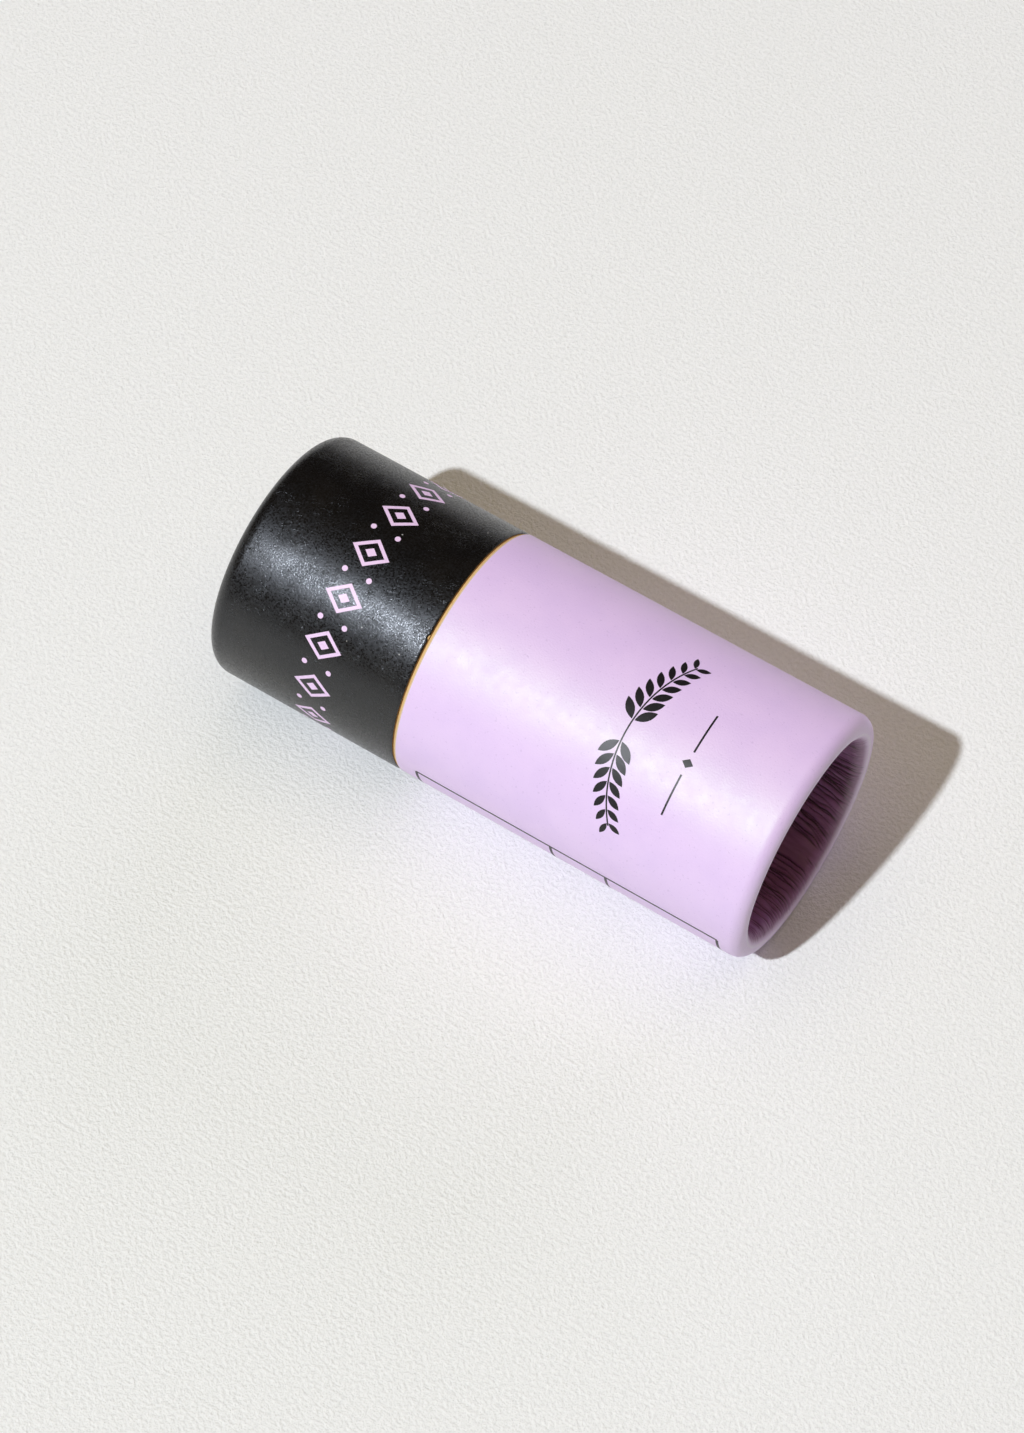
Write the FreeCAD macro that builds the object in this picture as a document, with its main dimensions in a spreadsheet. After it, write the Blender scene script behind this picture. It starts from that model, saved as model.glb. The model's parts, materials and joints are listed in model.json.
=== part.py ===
"""Lip balm stick in a paperboard push-up tube, lying on its side.

Every piece is drawn standing: heights run up the tube's axis from the base rim, radii run out from it.
The finished pieces are then laid down together, so that the axis lies along X with the cap towards -X,
and the tube rests on the plane z = 0 with the origin under its middle. Lengths are in millimetres.
"""

import FreeCAD, Part
import enum
import operator
import os

import Sketcher

DIMENSIONS = {
    # Tube as it is bought
    "tube_diameter": 22.0,
    "total_length": 51.0,
    "cap_length": 18.3,
    "seam_gap": 0.06,
    # Printed paper on wound board
    "wrap_thickness": 0.15,
    "core_thickness": 0.85,
    "kraft_reveal": 0.2,
    "shoulder_round": 0.1,
    # Where the wraps lap, in degrees from the top of the lying tube towards +Y
    "lap_angle": 151.0,
    # Ends of the tube, folded into the bore
    "base_fold_gap": 0.3,
    "base_rim_land": 0.3,
    "base_turn_in": 6.5,
    "cap_fold_gap": 0.9,
    "cap_rim_land": 0.3,
    "cap_turn_in": 3.0,
    # Inner tube that carries the balm and guides the cap
    "neck_clearance": 0.06,
    "neck_wall": 0.7,
    "neck_liner_thickness": 0.1,
    "mouth_gap": 0.85,
    # Discs that close the cap
    "cap_disc_clearance": 0.05,
    "cap_facing_thickness": 0.15,
    "cap_disc_thickness": 1.2,
    "cap_liner_thickness": 0.1,
    # Push-up plug
    "plug_clearance": 0.06,
    "plug_seat_gap": 0.05,
    "plug_height": 4.5,
    "plug_wall": 0.8,
    "plug_disc_thickness": 1.5,
    "plug_facing_thickness": 0.15,
    "plug_liner_thickness": 0.1,
    # Balm
    "balm_clearance": 0.08,
    "balm_headroom": 0.35,
    "balm_edge_round": 1.0,
}

doc = FreeCAD.newDocument("lip_balm_stick")
sheet = doc.addObject("Spreadsheet::Sheet", "Dims")
for row, (name, size) in enumerate(DIMENSIONS.items(), start=1):
    sheet.set(f"A{row}", name)
    sheet.set(f"B{row}", str(size))
    sheet.setAlias(f"B{row}", name)
doc.recompute()


class Length:
    """A length worked out from the sheet's cells: its formula, and the number that gives now."""

    def __init__(self, formula, value):
        self.formula = formula
        self.value = value

    def __add__(self, other):
        return Length(f"({self.formula} + {other.formula})", self.value + other.value)

    def __sub__(self, other):
        return Length(f"({self.formula} - {other.formula})", self.value - other.value)

    def half(self):
        return Length(f"({self.formula} / 2)", self.value / 2)


def dim(alias):
    """One driving dimension, read from its cell."""
    return Length(f"Dims.{alias}", float(sheet.get(alias)))


ZERO = Length("0", 0.0)

# Radii, from the outside in
OUTER = dim("tube_diameter").half()
CORE_OUTER = OUTER - dim("wrap_thickness")
CORE_BORE = CORE_OUTER - dim("core_thickness")
NECK_OUTER = CORE_BORE - dim("neck_clearance")
NECK_INNER = NECK_OUTER - dim("neck_wall")
NECK_BORE = NECK_INNER - dim("neck_liner_thickness")
PLUG_OUTER = NECK_BORE - dim("plug_clearance")
PLUG_INNER = PLUG_OUTER - dim("plug_wall")
BALM_OUTER = NECK_BORE - dim("balm_clearance")
CAP_DISC_OUTER = CORE_BORE - dim("cap_disc_clearance")

# Heights, from the base rim up
PLUG_BOTTOM = dim("base_turn_in") + dim("plug_seat_gap")
PLUG_TOP = PLUG_BOTTOM + dim("plug_height")
PLUG_DISC_BOTTOM = PLUG_TOP - dim("plug_disc_thickness")
PLUG_FACING_BOTTOM = PLUG_DISC_BOTTOM - dim("plug_facing_thickness")
BALM_BOTTOM = PLUG_TOP + dim("plug_liner_thickness")
CAP_RIM = dim("total_length") - dim("cap_length")
SHOULDER = CAP_RIM - dim("seam_gap")
WRAP_TOP = SHOULDER - dim("kraft_reveal")
CAP_FACING_TOP = dim("total_length") - dim("cap_turn_in")
CAP_DISC_TOP = CAP_FACING_TOP - dim("cap_facing_thickness")
CAP_DISC_BOTTOM = CAP_DISC_TOP - dim("cap_disc_thickness")
CAP_LINER_BOTTOM = CAP_DISC_BOTTOM - dim("cap_liner_thickness")
BALM_TOP = CAP_LINER_BOTTOM - dim("balm_headroom")
MOUTH = CAP_LINER_BOTTOM - dim("mouth_gap")


class Fold:
    """One end of the tube, where the wall rolls over a rim and runs back into the bore as a second wall.

    inward adds a distance to the rim's height where the tube lies above that rim, and subtracts it otherwise.
    """

    def __init__(self, rim, inward, gap, land, depth):
        wall = dim("wrap_thickness") + dim("core_thickness")
        folded = wall + wall + gap
        self.rim = rim
        self.opening = OUTER - folded
        self.wrap_round = (folded - land).half()
        self.core_round = self.wrap_round - dim("wrap_thickness")
        self.core_face = self.opening + dim("wrap_thickness")
        self.slot_face = self.opening + wall
        self.under_wrap = inward(rim, dim("wrap_thickness"))
        self.slot_end = inward(rim, wall)
        self.end = inward(rim, depth)

    def wrap_outline(self, free_end):
        """Section of the printed paper: along the outside, over the rim and into the bore."""
        return [
            (OUTER, free_end, None),
            (OUTER, self.rim, self.wrap_round),
            (self.opening, self.rim, self.wrap_round),
            (self.opening, self.end, None),
            (self.core_face, self.end, None),
            (self.core_face, self.under_wrap, self.core_round),
            (CORE_OUTER, self.under_wrap, self.core_round),
            (CORE_OUTER, free_end, None),
        ]

    def core_outline(self, free_end, free_round=None):
        """Section of the wound board, with a narrow slot between its two walls."""
        return [
            (CORE_OUTER, free_end, free_round),
            (CORE_OUTER, self.under_wrap, self.core_round),
            (self.core_face, self.under_wrap, self.core_round),
            (self.core_face, self.end, None),
            (self.slot_face, self.end, None),
            (self.slot_face, self.slot_end, None),
            (CORE_BORE, self.slot_end, None),
            (CORE_BORE, free_end, None),
        ]


BASE = Fold(ZERO, operator.add, dim("base_fold_gap"), dim("base_rim_land"), dim("base_turn_in"))
CAP = Fold(
    dim("total_length"), operator.sub, dim("cap_fold_gap"), dim("cap_rim_land"), dim("cap_turn_in")
)


class Axis(enum.IntEnum):
    """How a sketch numbers its own axes."""

    LEVEL = -1
    UPRIGHT = -2


class Point(enum.IntEnum):
    """How a sketch numbers the points of its lines, arcs and circles."""

    START = 1
    END = 2
    CENTRE = 3


ORIGIN = (Axis.LEVEL, Point.START)
SAME_POINT = 1e-6


def new_body(label):
    """A body laid on its side: the standing tube's +Z turns to -X, and its axis is lifted off the floor."""
    body = doc.addObject("PartDesign::Body", label)
    body.Label = label
    lay_down = FreeCAD.Rotation(FreeCAD.Vector(0, 1, 0), -90)
    turn_lap = FreeCAD.Rotation(FreeCAD.Vector(0, 0, 1), dim("lap_angle").value)
    body.Placement = FreeCAD.Placement(FreeCAD.Vector(), lay_down * turn_lap)
    body.setExpression("Placement.Base.x", dim("total_length").half().formula)
    body.setExpression("Placement.Base.z", OUTER.formula)
    return body


def new_sketch(body, plane_role):
    """An empty sketch on one of the body's own planes."""
    plane = next(feature for feature in body.Origin.OriginFeatures if feature.Role == plane_role)
    sketch = body.newObject("Sketcher::SketchObject", f"{body.Label}_sketch")
    sketch.AttachmentSupport = [(plane, "")]
    sketch.MapMode = "FlatFace"
    return sketch


def constrain(sketch, kind, *where):
    sketch.addConstraint(Sketcher.Constraint(kind, *where))


def dimension(sketch, kind, *where, length):
    """Adds a dimension to a sketch and ties it to a length."""
    index = sketch.addConstraint(Sketcher.Constraint(kind, *where, length.value))
    sketch.setExpression(f"Constraints[{index}]", length.formula)


def draw_section(sketch, corners):
    """Draws a closed outline whose sides are upright and level in turn, starting with an upright one.

    Each corner is (radius, height, round), and its side runs on to the next corner.
    """
    points = [FreeCAD.Vector(radius.value, height.value, 0) for radius, height, _ in corners]
    count = len(corners)

    def short_of(corner, towards):
        """Where a side stops before a corner, to leave room for its round."""
        rounding = corners[corner][2]
        side = points[towards] - points[corner]
        return points[corner] + side * (rounding.value / side.Length if rounding else 0)

    sides = []
    for corner in range(count):
        following = (corner + 1) % count
        line = Part.LineSegment(short_of(corner, following), short_of(following, corner))
        sides.append(sketch.addGeometry(line))

    for corner, (radius, height, _) in enumerate(corners):
        side = sides[corner]
        if corner % 2 == 0:
            constrain(sketch, "Vertical", side)
            place, along, axis = radius, "DistanceX", Axis.UPRIGHT
        else:
            constrain(sketch, "Horizontal", side)
            place, along, axis = height, "DistanceY", Axis.LEVEL
        if place is ZERO:
            constrain(sketch, "PointOnObject", side, Point.START, axis)
        else:
            dimension(sketch, along, *ORIGIN, side, Point.START, length=place)

    for corner, (_, _, rounding) in enumerate(corners):
        before, after = sides[corner - 1], sides[corner]
        if rounding is None:
            constrain(sketch, "Coincident", before, Point.END, after, Point.START)
            continue
        first = short_of(corner, corner - 1)
        last = short_of(corner, (corner + 1) % count)
        centre = first + last - points[corner]
        outward = points[corner] - centre
        crown = centre + outward * (rounding.value / outward.Length)
        arc = sketch.addGeometry(Part.Arc(first, crown, last))
        runs_forward = sketch.getPoint(arc, Point.START).isEqual(first, SAME_POINT)
        near, far = (Point.START, Point.END) if runs_forward else (Point.END, Point.START)
        constrain(sketch, "Tangent", before, Point.END, arc, near)
        constrain(sketch, "Tangent", arc, far, after, Point.START)
        dimension(sketch, "Radius", arc, length=rounding)


def turned(label, corners):
    """A piece of revolution about the tube's axis."""
    body = new_body(label)
    sketch = new_sketch(body, "XZ_Plane")
    draw_section(sketch, corners)
    revolve = body.newObject("PartDesign::Revolution", f"{label}_revolve")
    revolve.Profile = sketch
    revolve.ReferenceAxis = (sketch, ["V_Axis"])
    revolve.Angle = 360
    return body


def tube(label, outer, inner, bottom, top):
    """A plain length of tube."""
    corners = [(outer, top, None), (outer, bottom, None), (inner, bottom, None), (inner, top, None)]
    return turned(label, corners)


def disc(label, radius, bottom, thickness):
    """A flat round piece, die-cut from paper or board."""
    body = new_body(label)
    sketch = new_sketch(body, "XY_Plane")
    sketch.setExpression("AttachmentOffset.Base.z", bottom.formula)
    circle = sketch.addGeometry(Part.Circle(FreeCAD.Vector(), FreeCAD.Vector(0, 0, 1), radius.value))
    constrain(sketch, "Coincident", circle, Point.CENTRE, *ORIGIN)
    dimension(sketch, "Radius", circle, length=radius)
    pad = body.newObject("PartDesign::Pad", f"{label}_pad")
    pad.Profile = sketch
    pad.setExpression("Length", thickness.formula)
    return body


def outer_tube():
    """The wound tube with its printed wrap, and the inner tube that stands out of it as a neck."""
    return [
        turned("body_core", BASE.core_outline(SHOULDER, dim("shoulder_round"))),
        turned("body_wrap", BASE.wrap_outline(WRAP_TOP)),
        tube("neck_tube", NECK_OUTER, NECK_INNER, dim("base_turn_in"), MOUTH),
        tube("neck_liner", NECK_INNER, NECK_BORE, dim("base_turn_in"), MOUTH),
    ]


def pull_off_cap():
    """The cap, closed by a board disc that is glued in behind its folded rim."""
    return [
        turned("cap_core", CAP.core_outline(CAP_RIM)),
        turned("cap_wrap", CAP.wrap_outline(CAP_RIM)),
        disc("cap_end_facing", CAP_DISC_OUTER, CAP_DISC_TOP, dim("cap_facing_thickness")),
        disc("cap_end_disc", CAP_DISC_OUTER, CAP_DISC_BOTTOM, dim("cap_disc_thickness")),
        disc("cap_end_liner", CAP_DISC_OUTER, CAP_LINER_BOTTOM, dim("cap_liner_thickness")),
    ]


def push_up():
    """The plug that a finger pushes up the inner tube, and the balm that was poured onto it."""
    balm_section = [
        (BALM_OUTER, BALM_TOP, dim("balm_edge_round")),
        (BALM_OUTER, BALM_BOTTOM, None),
        (ZERO, BALM_BOTTOM, None),
        (ZERO, BALM_TOP, None),
    ]
    return [
        tube("plug_ring", PLUG_OUTER, PLUG_INNER, PLUG_BOTTOM, PLUG_TOP),
        disc("plug_disc", PLUG_INNER, PLUG_DISC_BOTTOM, dim("plug_disc_thickness")),
        disc("plug_facing", PLUG_INNER, PLUG_FACING_BOTTOM, dim("plug_facing_thickness")),
        disc("plug_liner", PLUG_OUTER, PLUG_TOP, dim("plug_liner_thickness")),
        turned("balm", balm_section),
    ]


def check(pieces):
    """Stops the build if anything failed to compute, a sketch is loose or a piece is not one valid solid."""
    for thing in doc.Objects:
        if "Invalid" in thing.State or "Error" in thing.State:
            raise RuntimeError(f"{thing.Label} failed: {thing.State}")
        if thing.isDerivedFrom("Sketcher::SketchObject") and not thing.FullyConstrained:
            raise RuntimeError(f"{thing.Label} is not fully constrained")
    for piece in pieces:
        shape = piece.Shape
        if shape.isNull() or not shape.isValid() or len(shape.Solids) != 1:
            raise RuntimeError(f"{piece.Label} is not one valid solid")


def main():
    pieces = outer_tube() + pull_off_cap() + push_up()
    doc.recompute()
    check(pieces)
    os.makedirs("parts", exist_ok=True)
    for piece in pieces:
        piece.Shape.exportStep(os.path.join("parts", f"{piece.Label}.step"))
        print(f"{piece.Label}: {piece.Shape.Volume:.1f} mm3")
    print(f"base opening radius: {BASE.opening.value:.2f} mm")
    print(f"cap recess radius: {CAP.opening.value:.2f} mm")
    print(f"plug face above the base rim: {PLUG_FACING_BOTTOM.value:.2f} mm")
    print(f"balm travel to the mouth: {(MOUTH - BALM_BOTTOM).value:.2f} mm")


main()
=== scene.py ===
"""Looks of a lip balm stick in a paperboard push-up tube, lying on its side. Lengths are in metres."""

import bisect
import json
import math
import random

import bmesh
import bpy
from mathutils import Matrix, Vector, noise


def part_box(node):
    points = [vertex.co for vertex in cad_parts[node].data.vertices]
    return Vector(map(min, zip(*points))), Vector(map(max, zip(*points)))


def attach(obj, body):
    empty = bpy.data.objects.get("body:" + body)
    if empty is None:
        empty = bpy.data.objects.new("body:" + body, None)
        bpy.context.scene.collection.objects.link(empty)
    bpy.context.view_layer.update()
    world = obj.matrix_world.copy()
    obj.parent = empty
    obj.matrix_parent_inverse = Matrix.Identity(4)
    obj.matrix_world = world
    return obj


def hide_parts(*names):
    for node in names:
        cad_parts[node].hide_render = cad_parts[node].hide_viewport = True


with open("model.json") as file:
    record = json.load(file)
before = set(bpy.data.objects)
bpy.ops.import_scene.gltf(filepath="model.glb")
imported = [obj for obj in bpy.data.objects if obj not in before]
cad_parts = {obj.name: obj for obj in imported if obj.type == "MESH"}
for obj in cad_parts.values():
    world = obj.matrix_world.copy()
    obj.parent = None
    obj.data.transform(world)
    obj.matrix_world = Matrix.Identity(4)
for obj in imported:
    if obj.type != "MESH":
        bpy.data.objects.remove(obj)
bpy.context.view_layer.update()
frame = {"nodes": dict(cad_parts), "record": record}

MM = 0.001
SAME_PLACE = 1e-6
SAME_X = 1e-7
ROUNDING = 1e-9

# The tube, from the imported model
MOUNTS = {mount["name"]: mount for mount in frame["record"]["mounts"]}
RADIUS = MOUNTS["outer_grip"]["dims"]["r_mm"] * MM
BASE_OPENING = MOUNTS["base_recess"]["dims"]["r_mm"] * MM
BASE_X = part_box("body_wrap")[1].x
BODY_TOP_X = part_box("body_wrap")[0].x
CAP_MOUTH_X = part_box("cap_wrap")[1].x
CAP_END_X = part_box("cap_wrap")[0].x
TURN_IN_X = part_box("neck_tube")[1].x
CAP_TURN_IN_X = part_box("cap_end_facing")[0].x
BALM_FOOT_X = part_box("balm")[1].x
BALM_TOP_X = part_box("balm")[0].x
BALM_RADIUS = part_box("balm")[1].y

# The paper, set in a little so that the ink on it stays within the tube's radius
PAPER = 0.15 * MM
INK_LIFT = 0.004 * MM
INK = 0.008 * MM
WALL_INSET = 0.02 * MM
WALL = RADIUS - WALL_INSET
CAP_OPENING = 8.1 * MM
RIM_LAND = 0.02 * MM
EDGE_ZONE = 0.4 * MM
BARE_EDGE = 0.1 * MM
DYED_EDGE = 0.01 * MM
LAP_TURN = math.radians(204)
LAP_WIDTH = math.radians(20)
LAP_STEP = 0.06 * MM
NICK_FLAT = 0.3
NICK_REACH = 3

# The scuffs on the black paper
SCUFF_HEADINGS = (0.5, 1.4, 2.3)
SCUFF_LEAN = 0.3
SCUFF_LENGTH = 2.4 * MM
SCUFF_SPACING = 0.35 * MM

# How finely the paper's mesh is divided
AROUND = 960
RIM_SEGMENTS = 12
RIM_BACK_SEGMENTS = 5
EDGE_PITCH = 0.04 * MM
WALL_PITCH = 3.2 * MM
BORE_PITCH = 0.2 * MM
SHARP_ANGLE = math.radians(50)

# The pleats
DEEP_SHARE = 0.65
CREASE_NARROWEST = 0.09 * MM
CREASE_WIDEST = 0.26 * MM
CREASE_DEPTH = 0.11 * MM
CREASE_ONSET = 0.5 * MM
CREASE_SHARPNESS = 1.6
FADE_SHARE = 0.55
BUNCHING = 0.13 * MM
BUNCHING_DEPTHS = (1.0 * MM, 3.0 * MM)
# How deep into the bore the fold share reaches its full value; it sets the painted shade there and the
# ridges
FOLD_DEPTH = 2.1 * MM
# Where the painted highlight along the rim's crest lies past the crest, and how wide it is
CREST_HIGHLIGHT_DEPTH = 0.2 * MM
CREST_HIGHLIGHT_WIDTH = 0.3 * MM
SWING = math.radians(3)
LAP_SWING = math.radians(9)
LAP_REACH = math.radians(45)
SMOOTH_BY_LAP = (0.1 * LAP_WIDTH, 0.24 * LAP_WIDTH)
SWING_DEPTH = 1.6 * MM
LEAN = math.radians(1.6) / MM
LEAN_CHANGES = 2.3
WAVE_SWING = math.radians(1.1)
WAVE_LENGTH = 1.2 * MM
ROW_OVERLAP = 0.2

# The balm's top
BALM_AROUND = 168
BALM_SHOULDER = 1.0 * MM
BALM_SHOULDER_SEGMENTS = 8
BALM_PITCH = 0.5 * MM
BALM_SINK = 0.35 * MM

# The print: places along the tube, and lengths round it from the top
BORDER_X = -15.0 * MM
BORDER_REPEATS = 16
LOZENGE = (3.5 * MM, 2.7 * MM)
LOZENGE_LINE = 0.3 * MM
LOZENGE_HEART = (1.1 * MM, 0.85 * MM)
DOT = 0.5 * MM
DOT_ASIDE = 1.15 * MM
GARLAND_X = 10.6 * MM
GARLAND_AROUND = 4.8 * MM
GARLAND_REACH = 7.8 * MM
GARLAND_ARCH = 1.9 * MM
LEAF_PAIRS = 7
LEAF_FORK = math.radians(42)
LEAF_LENGTH = 2.0 * MM
LEAF_TAPER = 0.8 * MM
LEAF_SLENDER = 0.4
LEAF_OUT = 0.6
FIRST_LEAVES = 0.75
STEM_AHEAD = 0.02
STEM_PIECES = 24
STEM_LINE = 0.13 * MM
RULE_BELOW = 5.6 * MM
RULE_ENDS = (1.0 * MM, 4.6 * MM)
RULE_LINE = 0.16 * MM
RULE_LOZENGE = (1.0 * MM, 0.8 * MM)
PANEL_X = (-4.9 * MM, 23.5 * MM)
PANEL_DIVIDERS = (7.9 * MM, 13.1 * MM)
PANEL_AROUND = (19.2 * MM, 29.0 * MM)
PANEL_LINE = 0.26 * MM
LINE_PITCH = 0.4 * MM

# The camera, fitted to the photographed outline
PICTURE_HEIGHT_PX = 1433
FOCAL_LENGTH_PX = 4264
SENSOR = 36
CLIP_START = 10 * MM
CAMERA_AZIMUTH = math.radians(29.79)
CAMERA_ELEVATION = math.radians(58.06)
CAMERA_ROLL = math.radians(3.07)
CAMERA_DISTANCE = 347.4 * MM
CAMERA_ASIDE = -2.23 * MM
CAMERA_RAISED = -1.94 * MM

# The light and the floor
KEY_AZIMUTH = math.radians(-14.4)
KEY_ELEVATION = math.radians(52.8)
KEY_DISTANCE = 2.0
KEY_SIZE = 0.05
KEY_POWER = 37.5
KEY_TINT = (0.885, 0.925, 1.0)
SOFTBOX_HEIGHT = 1.2
SOFTBOX_SIZE = 1.3
SOFTBOX_POWER = 4.2
SOFTBOX_TINT = (1.0, 0.82, 0.45)
BACK_ELEVATION = math.radians(14)
BACK_DISTANCE = 1.1
BACK_SIZE = 0.7
BACK_POWER = 4.8
BACK_TINT = (0.8, 0.72, 1.0)
FILL_STRENGTH = 0.03
FILL_TINT = (1.0, 0.93, 0.86, 1.0)
FLOOR_REACH = 1.5


def on_tube(x, radius, turn):
    """A point beside the tube's axis; turn runs from the top towards -Y."""
    return Vector((x, -radius * math.sin(turn), RADIUS + radius * math.cos(turn)))


def turn_of(point):
    """The turn of a point round the tube's axis, from the top towards -Y."""
    return math.atan2(-point.y, point.z - RADIUS) % math.tau


def radius_of(point):
    """How far a point lies from the tube's axis."""
    return math.hypot(point.y, point.z - RADIUS)


def smooth_step(low, high, value):
    """Rises smoothly from 0 at low to 1 at high."""
    share = min(max((value - low) / (high - low), 0.0), 1.0)
    return share * share * (3 - 2 * share)


def turn_apart(turn, other):
    """The smaller turn between two turns."""
    return abs((turn - other + math.pi) % math.tau - math.pi)


def seen_towards(azimuth, elevation):
    """The way from the object towards something at an azimuth round it and an elevation over the floor."""
    level = math.cos(elevation)
    return Vector((math.sin(azimuth) * level, -math.cos(azimuth) * level, math.sin(elevation)))


def finished_piece(name, bm, body, materials, replaced=()):
    """Turns a bmesh into a smooth-shaded piece that rides on a body."""
    mesh = bpy.data.meshes.new(name)
    bm.to_mesh(mesh)
    bm.free()
    for material in materials:
        mesh.materials.append(material)
    mesh.shade_smooth()
    mesh.set_sharp_from_angle(angle=SHARP_ANGLE)
    piece = bpy.data.objects.new(name, mesh)
    bpy.context.scene.collection.objects.link(piece)
    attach(piece, body)
    if replaced:
        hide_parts(*replaced)
    return piece


class Finish:
    """A material on one shader, with textures that read the piece's own coordinates."""

    def __init__(self, name, **sockets):
        self.material = bpy.data.materials.new(name)
        self.material.use_nodes = True
        self.nodes = self.material.node_tree.nodes
        self.links = self.material.node_tree.links
        self.shader = self.nodes["Principled BSDF"]
        self.place = self.nodes.new("ShaderNodeTexCoord").outputs["Object"]
        for socket, value in sockets.items():
            self.shader.inputs[socket.replace("_", " ")].default_value = value

    def feed(self, socket, value):
        """Links an output to an input, or sets a plain number or colour."""
        if isinstance(value, bpy.types.NodeSocket):
            self.links.new(value, socket)
        else:
            socket.default_value = value

    def shade(self, socket, value):
        """Feeds one of the shader's own sockets."""
        self.feed(self.shader.inputs[socket], value)

    def arithmetic(self, operation, first, second=0.0):
        """Works out one or two values; an operation on one value leaves the second unread."""
        node = self.nodes.new("ShaderNodeMath")
        node.operation = operation
        self.feed(node.inputs[0], first)
        self.feed(node.inputs[1], second)
        return node.outputs[0]

    def between(self, value, low, high, to_low=0.0, to_high=1.0):
        """Maps a range of values to another, smoothly and clamped."""
        node = self.nodes.new("ShaderNodeMapRange")
        node.interpolation_type = "SMOOTHSTEP"
        for socket, number in zip(node.inputs, (value, low, high, to_low, to_high)):
            self.feed(socket, number)
        return node.outputs[0]

    def stretched(self, scale, turn=(0, 0, 0)):
        """The piece's coordinates, turned and then scaled unevenly, for grain that runs one way."""
        node = self.nodes.new("ShaderNodeMapping")
        node.vector_type = "TEXTURE"
        node.inputs["Scale"].default_value = [1 / along for along in scale]
        node.inputs["Rotation"].default_value = turn
        self.links.new(self.place, node.inputs["Vector"])
        return node.outputs[0]

    def noise(self, size, detail=2.0, roughness=0.5, place=None):
        """Noise with features of about the given size."""
        node = self.nodes.new("ShaderNodeTexNoise")
        node.inputs["Scale"].default_value = 1 / size
        node.inputs["Detail"].default_value = detail
        node.inputs["Roughness"].default_value = roughness
        self.links.new(place or self.place, node.inputs["Vector"])
        return node.outputs[0]

    def cells(self, size):
        """How far the surface lies from the middles of scattered cells, as a share of their size."""
        node = self.nodes.new("ShaderNodeTexVoronoi")
        node.inputs["Scale"].default_value = 1 / size
        self.links.new(self.place, node.inputs["Vector"])
        return node.outputs["Distance"]

    def attribute(self, name):
        """A value that the piece's own mesh carries."""
        node = self.nodes.new("ShaderNodeAttribute")
        node.attribute_name = name
        return node.outputs["Fac"]

    def mix(self, share, first, second):
        """Goes from the first colour to the second as the share rises."""
        node = self.nodes.new("ShaderNodeMix")
        node.data_type = "RGBA"
        for identifier, value in (("Factor_Float", share), ("A_Color", first), ("B_Color", second)):
            self.feed(next(s for s in node.inputs if s.identifier == identifier), value)
        return next(s for s in node.outputs if s.identifier == "Result_Color")

    def bump(self, height, depth, under=None):
        """Raises the surface by a texture whose full range is the given depth."""
        node = self.nodes.new("ShaderNodeBump")
        node.inputs["Distance"].default_value = depth
        self.links.new(height, node.inputs["Height"])
        if under:
            self.links.new(under, node.inputs["Normal"])
        self.links.new(node.outputs[0], self.shader.inputs["Normal"])
        return node.outputs[0]

    def around_and_along(self):
        """The turn round the tube's axis, from 0 to 1, and the place along it."""
        split = self.nodes.new("ShaderNodeSeparateXYZ")
        self.links.new(self.place, split.inputs[0])
        height = self.arithmetic("SUBTRACT", split.outputs["Z"], RADIUS)
        turn = self.arithmetic("ARCTAN2", split.outputs["Y"], height)
        share = self.arithmetic("ADD", self.arithmetic("DIVIDE", turn, math.tau), 0.5)
        return share, split.outputs["X"]


def colour(red, green, blue):
    """A colour from sRGB values out of 255."""
    linear = [((c / 255 + 0.055) / 1.055) ** 2.4 if c > 10 else c / 255 / 12.92 for c in (red, green, blue)]
    return (*linear, 1.0)


def lavender_paper():
    """Printed paper, with a pale line painted along the rim's crest as a highlight, and painted shade where
    it is turned in: mauve, then deep plum and wrinkled, darkest in the creases.
    """
    finish = Finish("lavender_paper", Specular_IOR_Level=1.0, Specular_Tint=(0.6, 1.0, 0.4, 1.0))
    mottle = finish.between(finish.noise(3 * MM, detail=3.0), 0.3, 0.7)
    ground = finish.mix(mottle, colour(229, 200, 242), colour(233, 204, 244))
    fleck = finish.between(finish.noise(0.22 * MM, detail=1.0), 0.66, 0.76, 0.0, 0.3)
    ground = finish.mix(fleck, ground, colour(190, 158, 206))
    # Painted highlight: a pale line along the rim's crest
    crest_highlight = finish.between(finish.attribute("crest_highlight"), 0.0, 1.0, 0.0, 0.4)
    ground = finish.mix(crest_highlight, ground, colour(240, 226, 246))
    # Painted shade: the turned-in paper goes from lavender to mauve and then to deep plum as it runs into
    # the bore, in wrinkled patches of two plums
    fold = finish.attribute("fold")
    ground = finish.mix(finish.between(fold, 0.0, 0.4), ground, colour(180, 132, 182))
    along_bore = finish.stretched((0.16, 1.0, 1.0))
    wrinkle = finish.noise(0.5 * MM, detail=2.0, roughness=0.55, place=along_bore)
    painted_bore_shade = finish.mix(finish.between(wrinkle, 0.36, 0.66), colour(152, 92, 150), colour(172, 114, 172))
    ground = finish.mix(finish.between(fold, 0.15, 0.85), ground, painted_bore_shade)
    # Painted shade in the creases: soft mauve near the rim, deep plum further in
    shaded = finish.mix(finish.between(fold, 0.3, 0.95), colour(162, 122, 168), colour(74, 36, 66))
    crease = finish.between(finish.attribute("crease"), 0.15, 0.75, 0.0, 0.9)
    finish.shade("Base Color", finish.mix(crease, ground, shaded))
    finish.shade("Roughness", finish.between(finish.noise(0.9 * MM, detail=3.0), 0.2, 0.8, 0.46, 0.56))
    waves = finish.bump(finish.noise(5 * MM, detail=1.0), 0.03 * MM)
    ridges = finish.bump(finish.arithmetic("MULTIPLY", wrinkle, fold), 0.03 * MM, waves)
    finish.bump(finish.noise(0.16 * MM, detail=2.0), 0.02 * MM, ridges)
    return finish.material


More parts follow.
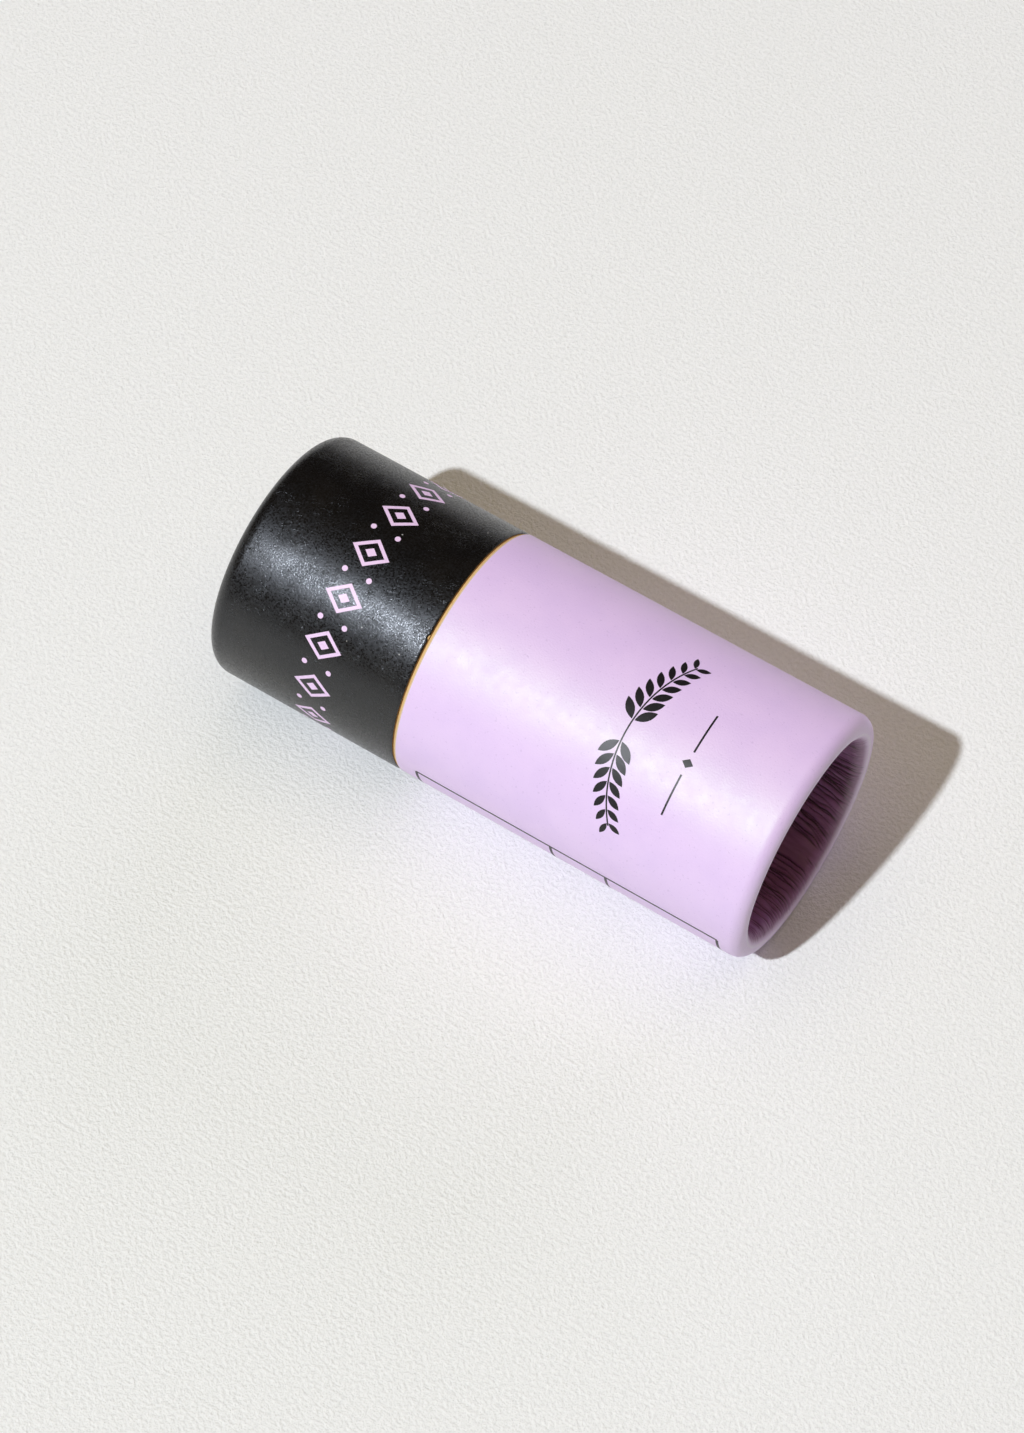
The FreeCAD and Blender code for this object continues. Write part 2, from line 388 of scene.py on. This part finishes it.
def cut_edge(name, roughness, dark, light):
    """The bare fibres on a cut edge of paper."""
    finish = Finish(name, Roughness=roughness)
    fibre = finish.noise(0.08 * MM, detail=3.0)
    finish.shade("Base Color", finish.mix(fibre, dark, light))
    finish.bump(fibre, 0.01 * MM)
    return finish.material


def raw_paper():
    """The pale tan edge of the lavender paper."""
    return cut_edge("raw_paper_edge", 0.85, colour(206, 180, 138), colour(232, 212, 178))


def dyed_paper():
    """The edge of the black paper, which is dyed right through."""
    return cut_edge("dyed_paper_edge", 0.8, colour(20, 18, 17), colour(40, 37, 34))


def hairlines(finish, heading):
    """Fine scratches that run one way, as lines from 0 to 1 on a stretched noise."""
    lie = finish.stretched((SCUFF_SPACING / SCUFF_LENGTH, 1.0, 1.0), (0.0, SCUFF_LEAN, heading))
    field = finish.noise(SCUFF_SPACING, detail=0.0, place=lie)
    line = finish.arithmetic("ABSOLUTE", finish.arithmetic("SUBTRACT", field, 0.5))
    return finish.between(line, 0.0, 0.02, 1.0, 0.0)


def black_paper():
    """Printed paper with a fine grain, patches of scuffs that cross each other, and a few pale specks."""
    finish = Finish("black_paper", Specular_IOR_Level=0.75, Specular_Tint=(0.9, 0.94, 1.0, 1.0))
    grain = finish.noise(0.15 * MM, detail=3.0, roughness=0.7)
    wear = finish.between(finish.noise(5 * MM, detail=4.0, roughness=0.6), 0.35, 0.75)
    ground = finish.mix(wear, colour(12, 9, 7), colour(21, 17, 13))
    speck = finish.between(finish.cells(2.1 * MM), 0.022, 0.036, 0.75, 0.0)
    finish.shade("Base Color", finish.mix(speck, ground, colour(190, 188, 184)))
    patches = finish.between(finish.noise(1.6 * MM, detail=2.0), 0.42, 0.68)
    scuffs, *others = [hairlines(finish, heading) for heading in SCUFF_HEADINGS]
    for lines in others:
        scuffs = finish.arithmetic("MAXIMUM", scuffs, lines)
    scuffs = finish.arithmetic("MULTIPLY", scuffs, patches)
    polish = finish.between(grain, 0.35, 0.65, 0.18, 0.46)
    rubbed = finish.arithmetic("MULTIPLY", scuffs, 0.1)
    finish.shade("Roughness", finish.arithmetic("SUBTRACT", polish, rubbed))
    waves = finish.bump(finish.noise(5 * MM, detail=1.0), 0.03 * MM)
    pits = finish.bump(grain, 0.018 * MM, waves)
    finish.bump(scuffs, 0.01 * MM, pits)
    return finish.material


def ink(name, body_colour, worn_colour):
    """Printing ink, worn in small spots."""
    finish = Finish(name, Roughness=0.45)
    wear = finish.between(finish.noise(0.25 * MM, detail=3.0), 0.55, 0.75, 0.0, 0.4)
    finish.shade("Base Color", finish.mix(wear, body_colour, worn_colour))
    finish.bump(finish.noise(0.15 * MM), 0.004 * MM)
    return finish.material


def wound_board(name, light, dark, ply_pitch):
    """Board wound from strips, with the joint between two turns of the outer ply as a helix."""
    finish = Finish(name, Roughness=0.82)
    turn, along = finish.around_and_along()
    wound = finish.arithmetic("ADD", turn, finish.arithmetic("DIVIDE", along, ply_pitch))
    across_ply = finish.arithmetic("FRACT", wound)
    from_joint = finish.arithmetic("ABSOLUTE", finish.arithmetic("SUBTRACT", across_ply, 0.5))
    joint = finish.between(from_joint, 0.0, 0.012, 0.6, 0.0)
    fibres = finish.noise(0.3 * MM, detail=4.0, roughness=0.65, place=finish.stretched((0.7, 1.2, 1.2)))
    ground = finish.mix(finish.between(fibres, 0.25, 0.75), dark, light)
    fleck = finish.between(finish.noise(0.4 * MM, detail=1.0), 0.66, 0.74, 0.0, 0.4)
    ground = finish.mix(fleck, ground, colour(148, 108, 64))
    finish.shade("Base Color", finish.mix(joint, ground, colour(150, 112, 68)))
    finish.bump(fibres, 0.012 * MM)
    return finish.material


def parchment():
    """Greaseproof paper, faintly cloudy."""
    finish = Finish("parchment", Roughness=0.5)
    clouds = finish.between(finish.noise(1.2 * MM, detail=4.0, roughness=0.6), 0.3, 0.7)
    finish.shade("Base Color", finish.mix(clouds, colour(226, 214, 186), colour(240, 231, 208)))
    finish.bump(finish.noise(0.2 * MM, detail=3.0), 0.01 * MM)
    return finish.material


def wax():
    """The balm: a pale yellow wax that lets a little light in."""
    finish = Finish("balm_wax", Subsurface_Weight=0.35, Subsurface_Scale=1.5 * MM)
    clouds = finish.between(finish.noise(2.5 * MM, detail=3.0), 0.3, 0.7)
    grains = finish.noise(0.3 * MM, detail=3.0)
    finish.shade("Base Color", finish.mix(clouds, colour(246, 236, 170), colour(250, 243, 190)))
    finish.shade("Roughness", finish.between(grains, 0.3, 0.7, 0.32, 0.5))
    finish.bump(grains, 0.02 * MM)
    return finish.material


def printed_disc(name, ground_colour, fleck_colour):
    """Printed paper on a flat disc."""
    finish = Finish(name, Roughness=0.45)
    grain = finish.noise(0.2 * MM, detail=3.0)
    fleck = finish.between(grain, 0.5, 0.8, 0.0, 0.5)
    finish.shade("Base Color", finish.mix(fleck, ground_colour, fleck_colour))
    finish.bump(grain, 0.012 * MM)
    return finish.material


class Pleats:
    """Folds of the paper turned into the bore: fine creases that run in from the rim and join into fewer."""

    def __init__(self, count, seed):
        chance = random.Random(seed)
        self.seed = seed
        self.rows = {}
        self.creases = []
        for place in range(count):
            runs_deep = chance.random() < DEEP_SHARE
            self.creases.append({
                "turn": (place + chance.uniform(-0.4, 0.4)) * math.tau / count,
                "slant": math.radians(chance.uniform(-0.35, 0.35)) / MM,
                "wave": chance.uniform(0, 90),
                "start": chance.uniform(0.2, 0.75) * MM,
                "end": chance.uniform(6, 11) * MM if runs_deep else chance.uniform(1.2, 3.2) * MM,
                "valley": chance.uniform(0.55, 1.0) if runs_deep else chance.uniform(0.3, 0.8),
                "half_width": chance.uniform(CREASE_NARROWEST, CREASE_WIDEST),
            })

    def drift(self, turn, depth):
        """How far the creases near a turn have swung aside at a depth, most of all beside the lap."""
        from_lap = turn_apart(turn, LAP_TURN) / LAP_REACH
        swing = SWING + LAP_SWING * math.exp(-from_lap * from_lap)
        spot = Vector((math.cos(turn), math.sin(turn), self.seed)) * LEAN_CHANGES
        slant = LEAN * noise.noise(spot)
        return swing * (1 - math.exp(-depth / SWING_DEPTH)) + slant * depth

    def row(self, depth):
        """The creases at one depth as (turn, strength, half width), by turn and on past a full turn."""
        key = round(depth / MM, 3)
        if key not in self.rows:
            marks = []
            for crease in self.creases:
                onset = smooth_step(crease["start"], crease["start"] + CREASE_ONSET, depth)
                fading = 1 - smooth_step(FADE_SHARE * crease["end"], crease["end"], depth)
                spot = Vector((crease["wave"], depth / WAVE_LENGTH, self.seed))
                wave = WAVE_SWING * noise.noise(spot)
                turn = crease["turn"] + wave + crease["slant"] * depth + self.drift(crease["turn"], depth)
                marks.append((turn % math.tau, crease["valley"] * onset * fading, crease["half_width"]))
            before = [(turn - math.tau, *rest) for turn, *rest in marks if turn > math.tau - ROW_OVERLAP]
            after = [(turn + math.tau, *rest) for turn, *rest in marks if turn < ROW_OVERLAP]
            self.rows[key] = sorted(before + marks + after)
        return self.rows[key]

    def valley(self, turn, depth, radius):
        """How deep in a crease the paper lies, from 0 to 1; it lies smooth over the lap."""
        row = self.row(depth)
        reach = CREASE_WIDEST / radius
        first = bisect.bisect_left(row, (turn - reach,))
        last = bisect.bisect_right(row, (turn + reach, 1.0))
        deepest = 0.0
        for mark, strength, half_width in row[first:last]:
            apart = abs(turn - mark) * radius / half_width
            if apart < 1:
                deepest = max(deepest, strength * (1 - apart) ** CREASE_SHARPNESS)
        return deepest * smooth_step(*SMOOTH_BY_LAP, turn_apart(turn, LAP_TURN))


def draw_section(bm, corners):
    """Draws a section over the tube's axis from its corners, each an (x, radius)."""
    verts = [bm.verts.new(on_tube(x, radius, 0.0)) for x, radius in corners]
    for first, second in zip(verts, verts[1:]):
        bm.edges.new((first, second))
    return verts


def round_corners(bm, corners, radius, segments):
    """Rounds some corners of a section."""
    bmesh.ops.bevel(
        bm, geom=corners, offset=radius, offset_type="OFFSET", affect="VERTICES", segments=segments,
        profile=0.5, material=-1,
    )


def divide_side(bm, first, second, pitch):
    """Divides the section's side that runs between two places, each an (x, radius)."""
    ends = (on_tube(*first, 0.0), on_tube(*second, 0.0))
    for edge in bm.edges[:]:
        near = [min((vert.co - end).length for vert in edge.verts) for end in ends]
        if max(near) < SAME_PLACE:
            cuts = round(edge.calc_length() / pitch) - 1
            bmesh.ops.subdivide_edges(bm, edges=[edge], cuts=cuts)


def spin_round(bm, steps, sectors=24):
    """Spins the section about the tube's axis into a closed shell, one sector first and then its copies."""
    axis = {"cent": (0, 0, RADIUS), "axis": (1, 0, 0)}
    sector = math.tau / sectors
    bmesh.ops.spin(bm, geom=bm.verts[:] + bm.edges[:], angle=sector, steps=steps // sectors, **axis)
    whole = bm.verts[:] + bm.edges[:] + bm.faces[:]
    bmesh.ops.spin(bm, geom=whole, angle=math.tau - sector, steps=sectors - 1, use_duplicate=True, **axis)
    bmesh.ops.remove_doubles(bm, verts=bm.verts[:], dist=SAME_X)
    bmesh.ops.recalc_face_normals(bm, faces=bm.faces[:])


class Wrap:
    """A sheet of printed paper round the tube, rolled over a rim and turned into the bore in pleats."""

    def __init__(self, cut_x, rim_x, opening, turn_in_x, pleats):
        self.cut_x = cut_x
        self.rim_x = rim_x
        self.opening = opening
        self.turn_in_x = turn_in_x
        self.pleats = pleats
        self.way = 1 if rim_x > cut_x else -1
        self.rim_round = (WALL - opening - RIM_LAND) / 2
        self.bend_x = rim_x - self.way * self.rim_round

    def shell(self):
        """The sheet with its thickness, before it is creased."""
        bm = bmesh.new()
        under_x = self.rim_x - self.way * PAPER
        zone_x = self.cut_x + self.way * EDGE_ZONE
        corners = draw_section(bm, [
            (self.cut_x, WALL),
            (zone_x, WALL),
            (self.rim_x, WALL),
            (self.rim_x, self.opening),
            (self.turn_in_x, self.opening),
            (self.turn_in_x, self.opening + PAPER),
            (under_x, self.opening + PAPER),
            (under_x, WALL - PAPER),
            (self.cut_x, WALL - PAPER),
        ])
        bm.edges.new((corners[-1], corners[0]))
        round_corners(bm, corners[2:4], self.rim_round, RIM_SEGMENTS)
        round_corners(bm, corners[6:8], self.rim_round - PAPER, RIM_BACK_SEGMENTS)
        divide_side(bm, (self.cut_x, WALL), (zone_x, WALL), EDGE_PITCH)
        divide_side(bm, (zone_x, WALL), (self.bend_x, WALL), WALL_PITCH)
        divide_side(bm, (self.bend_x, self.opening), (self.turn_in_x, self.opening), BORE_PITCH)
        spin_round(bm, AROUND)
        return bm

    def turned_in(self, x, radius):
        """How far past the rim's crest the printed side is at a point, and the way it faces, or None."""
        past = self.way * (x - self.bend_x)
        inward = self.opening + self.rim_round - radius
        if past <= ROUNDING:
            in_bore = radius < self.opening + PAPER / 2
            return (self.rim_round * math.pi / 2 - past, (0.0, -1.0)) if in_bore else None
        out = math.hypot(past, inward)
        if inward < 0 or out < self.rim_round - PAPER / 2:
            return None
        return self.rim_round * math.atan2(inward, past), (self.way * past / out, -inward / out)

    def mark_cut_edges(self, bm, width):
        """Gives the cut ends, and a width of the print beside them, the bare paper's material."""
        for face in bm.faces:
            middle = face.calc_center_median()
            at_cut = self.way * (middle.x - self.cut_x) < width
            at_end = all(abs(vert.co.x - self.turn_in_x) < SAME_X for vert in face.verts)
            face.material_index = 1 if at_cut or at_end else 0

    def crease(self, bm):
        """Presses the pleats into the turned-in paper."""
        shade = bm.verts.layers.float.new("crease")
        fold = bm.verts.layers.float.new("fold")
        crest_highlight = bm.verts.layers.float.new("crest_highlight")
        for vert in bm.verts:
            turn, radius = turn_of(vert.co), radius_of(vert.co)
            found = self.turned_in(vert.co.x, radius)
            if not found:
                continue
            depth, (along, out) = found
            valley = self.pleats.valley(turn, depth, radius)
            bunched = BUNCHING * smooth_step(*BUNCHING_DEPTHS, depth)
            lift = bunched - (CREASE_DEPTH + bunched) * valley
            # The crease mask, which the material uses for painted shade in the creases
            vert[shade] = valley
            # A mask for the painted shade that deepens into the bore
            vert[fold] = smooth_step(0.0, FOLD_DEPTH, depth)
            # A mask for the painted highlight along the rim's crest
            vert[crest_highlight] = 1 - smooth_step(0.0, CREST_HIGHLIGHT_WIDTH, abs(depth - CREST_HIGHLIGHT_DEPTH))
            vert.co = on_tube(vert.co.x + along * lift, radius + out * lift, turn)

    def press_wall(self, bm, edge_width, edge_drop):
        """Eases the cut edge down, and steps the paper down beside its lap."""
        for vert in bm.verts:
            turn, radius = turn_of(vert.co), radius_of(vert.co)
            if radius < WALL - PAPER / 2:
                continue
            from_cut = min(self.way * (vert.co.x - self.cut_x) / edge_width, 1.0)
            drop = edge_drop * (1 - math.sqrt(1 - (1 - from_cut) ** 2))
            past_lap = (turn - LAP_TURN - LAP_WIDTH / 2) % math.tau
            if past_lap < LAP_WIDTH:
                drop += LAP_STEP * (1 - smooth_step(0.0, LAP_WIDTH, past_lap))
            vert.co = on_tube(vert.co.x, radius - drop, turn)

    def nick_edge(self, bm, turn, width, depth):
        """Wears a small bite out of the cut edge."""
        for vert in bm.verts:
            near = 1 - smooth_step(NICK_FLAT * width, width, turn_apart(turn_of(vert.co), turn))
            reach = 1 - smooth_step(0.0, NICK_REACH * depth, self.way * (vert.co.x - self.cut_x))
            vert.co.x += self.way * near * reach * depth


def body_paper():
    """The lavender paper, turned in over the base rim."""
    wrap = Wrap(BODY_TOP_X, BASE_X, BASE_OPENING, TURN_IN_X, Pleats(count=210, seed=11))
    bm = wrap.shell()
    wrap.mark_cut_edges(bm, BARE_EDGE)
    wrap.crease(bm)
    wrap.press_wall(bm, edge_width=0.16 * MM, edge_drop=0.06 * MM)
    materials = [lavender_paper(), raw_paper()]
    return finished_piece("body_wrap_paper", bm, "tube", materials, ["body_wrap"])


def cap_paper():
    """The black paper, turned in over the cap's end, with a small nick in its cut edge."""
    wrap = Wrap(CAP_MOUTH_X, CAP_END_X, CAP_OPENING, CAP_TURN_IN_X, Pleats(count=164, seed=5))
    bm = wrap.shell()
    wrap.mark_cut_edges(bm, DYED_EDGE)
    wrap.crease(bm)
    wrap.press_wall(bm, edge_width=0.34 * MM, edge_drop=0.12 * MM)
    wrap.nick_edge(bm, turn=math.radians(31), width=math.radians(1.3), depth=0.11 * MM)
    materials = [black_paper(), dyed_paper()]
    return finished_piece("cap_wrap_paper", bm, "cap", materials, ["cap_wrap"])


def poured_balm():
    """The balm: a round wall, a soft shoulder and a top that sank a little as it set."""
    bm = bmesh.new()
    corners = draw_section(bm, [
        (BALM_FOOT_X, 0.0),
        (BALM_FOOT_X, BALM_RADIUS),
        (BALM_TOP_X, BALM_RADIUS),
        (BALM_TOP_X, 0.0),
    ])
    round_corners(bm, corners[2:3], BALM_SHOULDER, BALM_SHOULDER_SEGMENTS)
    flat = BALM_RADIUS - BALM_SHOULDER
    divide_side(bm, (BALM_TOP_X, flat), (BALM_TOP_X, 0.0), BALM_PITCH)
    spin_round(bm, BALM_AROUND)
    for vert in bm.verts:
        if abs(vert.co.x - BALM_TOP_X) < SAME_X:
            vert.co.x += BALM_SINK * smooth_step(0.0, 1.0, 1 - radius_of(vert.co) / flat)
    return finished_piece("balm_poured", bm, "push_up", [wax()], ["balm"])


def print_on_tube(name, bm, body, material):
    """Lays flat shapes round the tube as a film of ink; flat x runs along the tube, and y round it."""
    film = bmesh.ops.extrude_face_region(bm, geom=bm.faces[:], use_keep_orig=True)["geom"]
    raised = [item for item in film if isinstance(item, bmesh.types.BMVert)]
    bmesh.ops.translate(bm, verts=raised, vec=(0, 0, INK))
    bmesh.ops.recalc_face_normals(bm, faces=bm.faces[:])
    for vert in bm.verts:
        vert.co = on_tube(vert.co.x, WALL + INK_LIFT + vert.co.z, vert.co.y / RADIUS)
    return finished_piece(name, bm, body, [material])


def turn_flat(bm, verts, angle):
    """Turns a flat shape about its own middle, before it is moved to its place."""
    bmesh.ops.rotate(bm, verts=verts, cent=(0, 0, 0), matrix=Matrix.Rotation(angle, 3, "Z"))


def flat_oval(bm, place, length, width, lean=0.0, pointed=True, segments=20):
    """A flat leaf or dot, its length along x before it leans."""
    verts = bmesh.ops.create_circle(bm, cap_ends=True, radius=1.0, segments=segments)["verts"]
    for vert in verts:
        if pointed:
            vert.co.y *= abs(vert.co.y)
    bmesh.ops.scale(bm, verts=verts, vec=(length / 2, width / 2, 1))
    turn_flat(bm, verts, lean)
    bmesh.ops.translate(bm, verts=verts, vec=(*place, 0))


def flat_line(bm, start, end, width):
    """A flat ruled line between two places, divided so that it can bend."""
    run = Vector((*end, 0)) - Vector((*start, 0))
    pieces = max(1, round(run.length / LINE_PITCH))
    verts = bmesh.ops.create_grid(bm, x_segments=pieces, y_segments=1, size=0.5)["verts"]
    bmesh.ops.scale(bm, verts=verts, vec=(run.length, width, 1))
    turn_flat(bm, verts, math.atan2(run.y, run.x))
    bmesh.ops.translate(bm, verts=verts, vec=Vector((*start, 0)) + run / 2)


def flat_lozenge(bm, place, length, width, divisions=6):
    """A flat lozenge, its length along x, divided so that it can bend."""
    half_side = math.sqrt(0.5)
    grid = bmesh.ops.create_grid(bm, x_segments=divisions, y_segments=divisions, size=half_side)
    verts = grid["verts"]
    turn_flat(bm, verts, math.pi / 4)
    bmesh.ops.scale(bm, verts=verts, vec=(length / 2, width / 2, 1))
    bmesh.ops.translate(bm, verts=verts, vec=(*place, 0))
    return verts


def outlined(bm, verts, width):
    """Leaves only a line of the given width along the edge of a flat shape."""
    faces = list({face for vert in verts for face in vert.link_faces})
    bmesh.ops.inset_region(bm, faces=faces, thickness=width, use_even_offset=True, use_boundary=True)
    bmesh.ops.delete(bm, geom=faces, context="FACES")


def divide_ovals(bm):
    """Divides the many-sided faces of leaves and dots, so that they can bend."""
    bmesh.ops.poke(bm, faces=[face for face in bm.faces if len(face.verts) > 4])


def cap_border():
    """A ring of outlined lozenges with small ones inside, and dots between them, round the cap's middle."""
    bm = bmesh.new()
    pitch = math.tau * RADIUS / BORDER_REPEATS
    for repeat in range(BORDER_REPEATS):
        around = (repeat + 0.5) * pitch
        outlined(bm, flat_lozenge(bm, (BORDER_X, around), *LOZENGE), LOZENGE_LINE)
        flat_lozenge(bm, (BORDER_X, around), *LOZENGE_HEART, divisions=3)
        for aside in (-DOT_ASIDE, DOT_ASIDE):
            place = (BORDER_X + aside, around + pitch / 2)
            flat_oval(bm, place, DOT, DOT, pointed=False, segments=12)
    divide_ovals(bm)
    material = ink("cap_ink", colour(236, 206, 238), colour(200, 170, 204))
    return print_on_tube("cap_border_ink", bm, "cap", material)


def stem_place(share):
    """A place on the garland's stem, at a share of the way from its middle to one end."""
    return GARLAND_X + GARLAND_ARCH * share ** 2, GARLAND_AROUND + share * GARLAND_REACH


def leaf_pair(bm, share, ahead_share):
    """Two leaves that fork from a place on the stem, smaller towards its ends."""
    x, around = stem_place(share)
    ahead_x, ahead = stem_place(ahead_share)
    heading = math.atan2(ahead - around, ahead_x - x)
    size = LEAF_LENGTH - LEAF_TAPER * abs(share)
    for fork in (-1, 1):
        lean = heading + fork * LEAF_FORK
        middle = Vector((x, around)) + Vector((math.cos(lean), math.sin(lean))) * size * LEAF_OUT
        flat_oval(bm, middle, size, LEAF_SLENDER * size, lean)


def body_garland():
    """A garland of plain leaves on a low arch of stem, with a ruled line and a lozenge under it."""
    bm = bmesh.new()
    for side in (-1, 1):
        for pair in range(LEAF_PAIRS):
            share = side * (pair + FIRST_LEAVES) / LEAF_PAIRS
            leaf_pair(bm, share, share + STEM_AHEAD * side)
        stem = [stem_place(side * step / STEM_PIECES) for step in range(STEM_PIECES + 1)]
        for first, second in zip(stem, stem[1:]):
            flat_line(bm, first, second, STEM_LINE)
    rule_x = GARLAND_X + RULE_BELOW
    for side in (-1, 1):
        start, end = ((rule_x, GARLAND_AROUND + side * reach) for reach in RULE_ENDS)
        flat_line(bm, start, end, RULE_LINE)
    flat_lozenge(bm, (rule_x, GARLAND_AROUND), *RULE_LOZENGE, divisions=3)
    divide_ovals(bm)
    material = ink("body_ink", colour(24, 20, 22), colour(60, 52, 62))
    return print_on_tube("body_garland_ink", bm, "tube", material)


def body_panel():
    """A ruled panel low on the front, divided in three."""
    bm = bmesh.new()
    first, last = PANEL_X
    near, far = PANEL_AROUND
    for around in (near, far):
        flat_line(bm, (first, around), (last, around), PANEL_LINE)
    for x in (first, *PANEL_DIVIDERS, last):
        flat_line(bm, (x, near), (x, far), PANEL_LINE)
    material = ink("panel_ink", colour(24, 20, 22), colour(60, 52, 62))
    return print_on_tube("body_panel_ink", bm, "tube", material)


def add_camera():
    """The camera at the photograph's viewing angle, turned a little about its own axis."""
    back = seen_towards(CAMERA_AZIMUTH, CAMERA_ELEVATION)
    right = Vector((math.cos(CAMERA_AZIMUTH), math.sin(CAMERA_AZIMUTH), 0))
    up = back.cross(right)
    rolled_right = right * math.cos(CAMERA_ROLL) + up * math.sin(CAMERA_ROLL)
    rolled_up = up * math.cos(CAMERA_ROLL) - right * math.sin(CAMERA_ROLL)
    data = bpy.data.cameras.new("camera")
    data.sensor_width = SENSOR
    data.lens = SENSOR * FOCAL_LENGTH_PX / PICTURE_HEIGHT_PX
    data.clip_start = CLIP_START
    camera = bpy.data.objects.new("camera", data)
    camera.matrix_world = Matrix((rolled_right, rolled_up, back)).transposed().to_4x4()
    centred = Vector((0, 0, RADIUS)) + back * CAMERA_DISTANCE
    camera.location = centred + rolled_right * CAMERA_ASIDE + rolled_up * CAMERA_RAISED
    bpy.context.scene.collection.objects.link(camera)
    bpy.context.scene.camera = camera


def add_lamp(name, towards, distance, size, power, tint):
    """A square lamp that faces the object."""
    data = bpy.data.lights.new(name, "AREA")
    data.energy = power
    data.size = size
    data.color = tint
    lamp = bpy.data.objects.new(name, data)
    lamp.location = towards * distance
    lamp.rotation_euler = towards.to_track_quat("Z", "Y").to_euler()
    bpy.context.scene.collection.objects.link(lamp)
    return lamp


def add_light():
    """A hard key lamp, a warm softbox overhead, a cool panel behind, and a weak fill from all round."""
    front = seen_towards(KEY_AZIMUTH, KEY_ELEVATION)
    add_lamp("key", front, KEY_DISTANCE, KEY_SIZE, KEY_POWER, KEY_TINT)
    above = Vector((0, 0, 1))
    softbox = add_lamp("softbox", above, SOFTBOX_HEIGHT, SOFTBOX_SIZE, SOFTBOX_POWER, SOFTBOX_TINT)
    softbox.visible_glossy = False
    behind = seen_towards(math.pi, BACK_ELEVATION)
    panel = add_lamp("back_panel", behind, BACK_DISTANCE, BACK_SIZE, BACK_POWER, BACK_TINT)
    panel.visible_glossy = False
    world = bpy.data.worlds.new("fill")
    world.use_nodes = True
    background = world.node_tree.nodes["Background"]
    background.inputs["Color"].default_value = FILL_TINT
    background.inputs["Strength"].default_value = FILL_STRENGTH
    bpy.context.scene.world = world


def floor_paint():
    """Pale paint with a fine, uneven grain."""
    finish = Finish("floor_paint", Roughness=0.9)
    grain = finish.noise(0.34 * MM, detail=3.0, roughness=0.6)
    finish.shade("Base Color", finish.mix(grain, colour(226, 228, 225), colour(254, 254, 251)))
    finish.bump(grain, 0.16 * MM)
    return finish.material


def add_floor():
    """The plain floor that the stick lies on."""
    bm = bmesh.new()
    bmesh.ops.create_grid(bm, x_segments=1, y_segments=1, size=FLOOR_REACH)
    mesh = bpy.data.meshes.new("floor")
    bm.to_mesh(mesh)
    bm.free()
    mesh.materials.append(floor_paint())
    floor = bpy.data.objects.new("floor", mesh)
    bpy.context.scene.collection.objects.link(floor)


def dress_cad_nodes():
    """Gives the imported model's own pieces their materials."""
    kraft = wound_board("kraft_board", colour(222, 184, 124), colour(206, 166, 106), ply_pitch=21 * MM)
    neck = wound_board("neck_board", colour(208, 170, 116), colour(190, 150, 98), ply_pitch=17 * MM)
    plug = wound_board("plug_board", colour(202, 163, 111), colour(184, 144, 94), ply_pitch=9 * MM)
    lining = parchment()
    dressed = {
        "body_core": kraft,
        "cap_core": kraft,
        "cap_end_disc": kraft,
        "neck_tube": neck,
        "plug_ring": plug,
        "plug_disc": plug,
        "neck_liner": lining,
        "cap_end_liner": lining,
        "plug_liner": lining,
        "cap_end_facing": printed_disc("black_facing", colour(28, 26, 24), colour(52, 50, 48)),
        # The plug's facing is painted plum as shade deep in the bore
        "plug_facing": printed_disc("plum_facing", colour(118, 70, 102), colour(98, 54, 84)),
    }
    for node, material in dressed.items():
        mesh = frame["nodes"][node].data
        mesh.materials.clear()
        mesh.materials.append(material)


add_camera()
add_light()
add_floor()
dress_cad_nodes()
body_paper()
cap_paper()
poured_balm()
cap_border()
body_garland()
body_panel()

bpy.context.scene.view_settings.view_transform = "Standard"
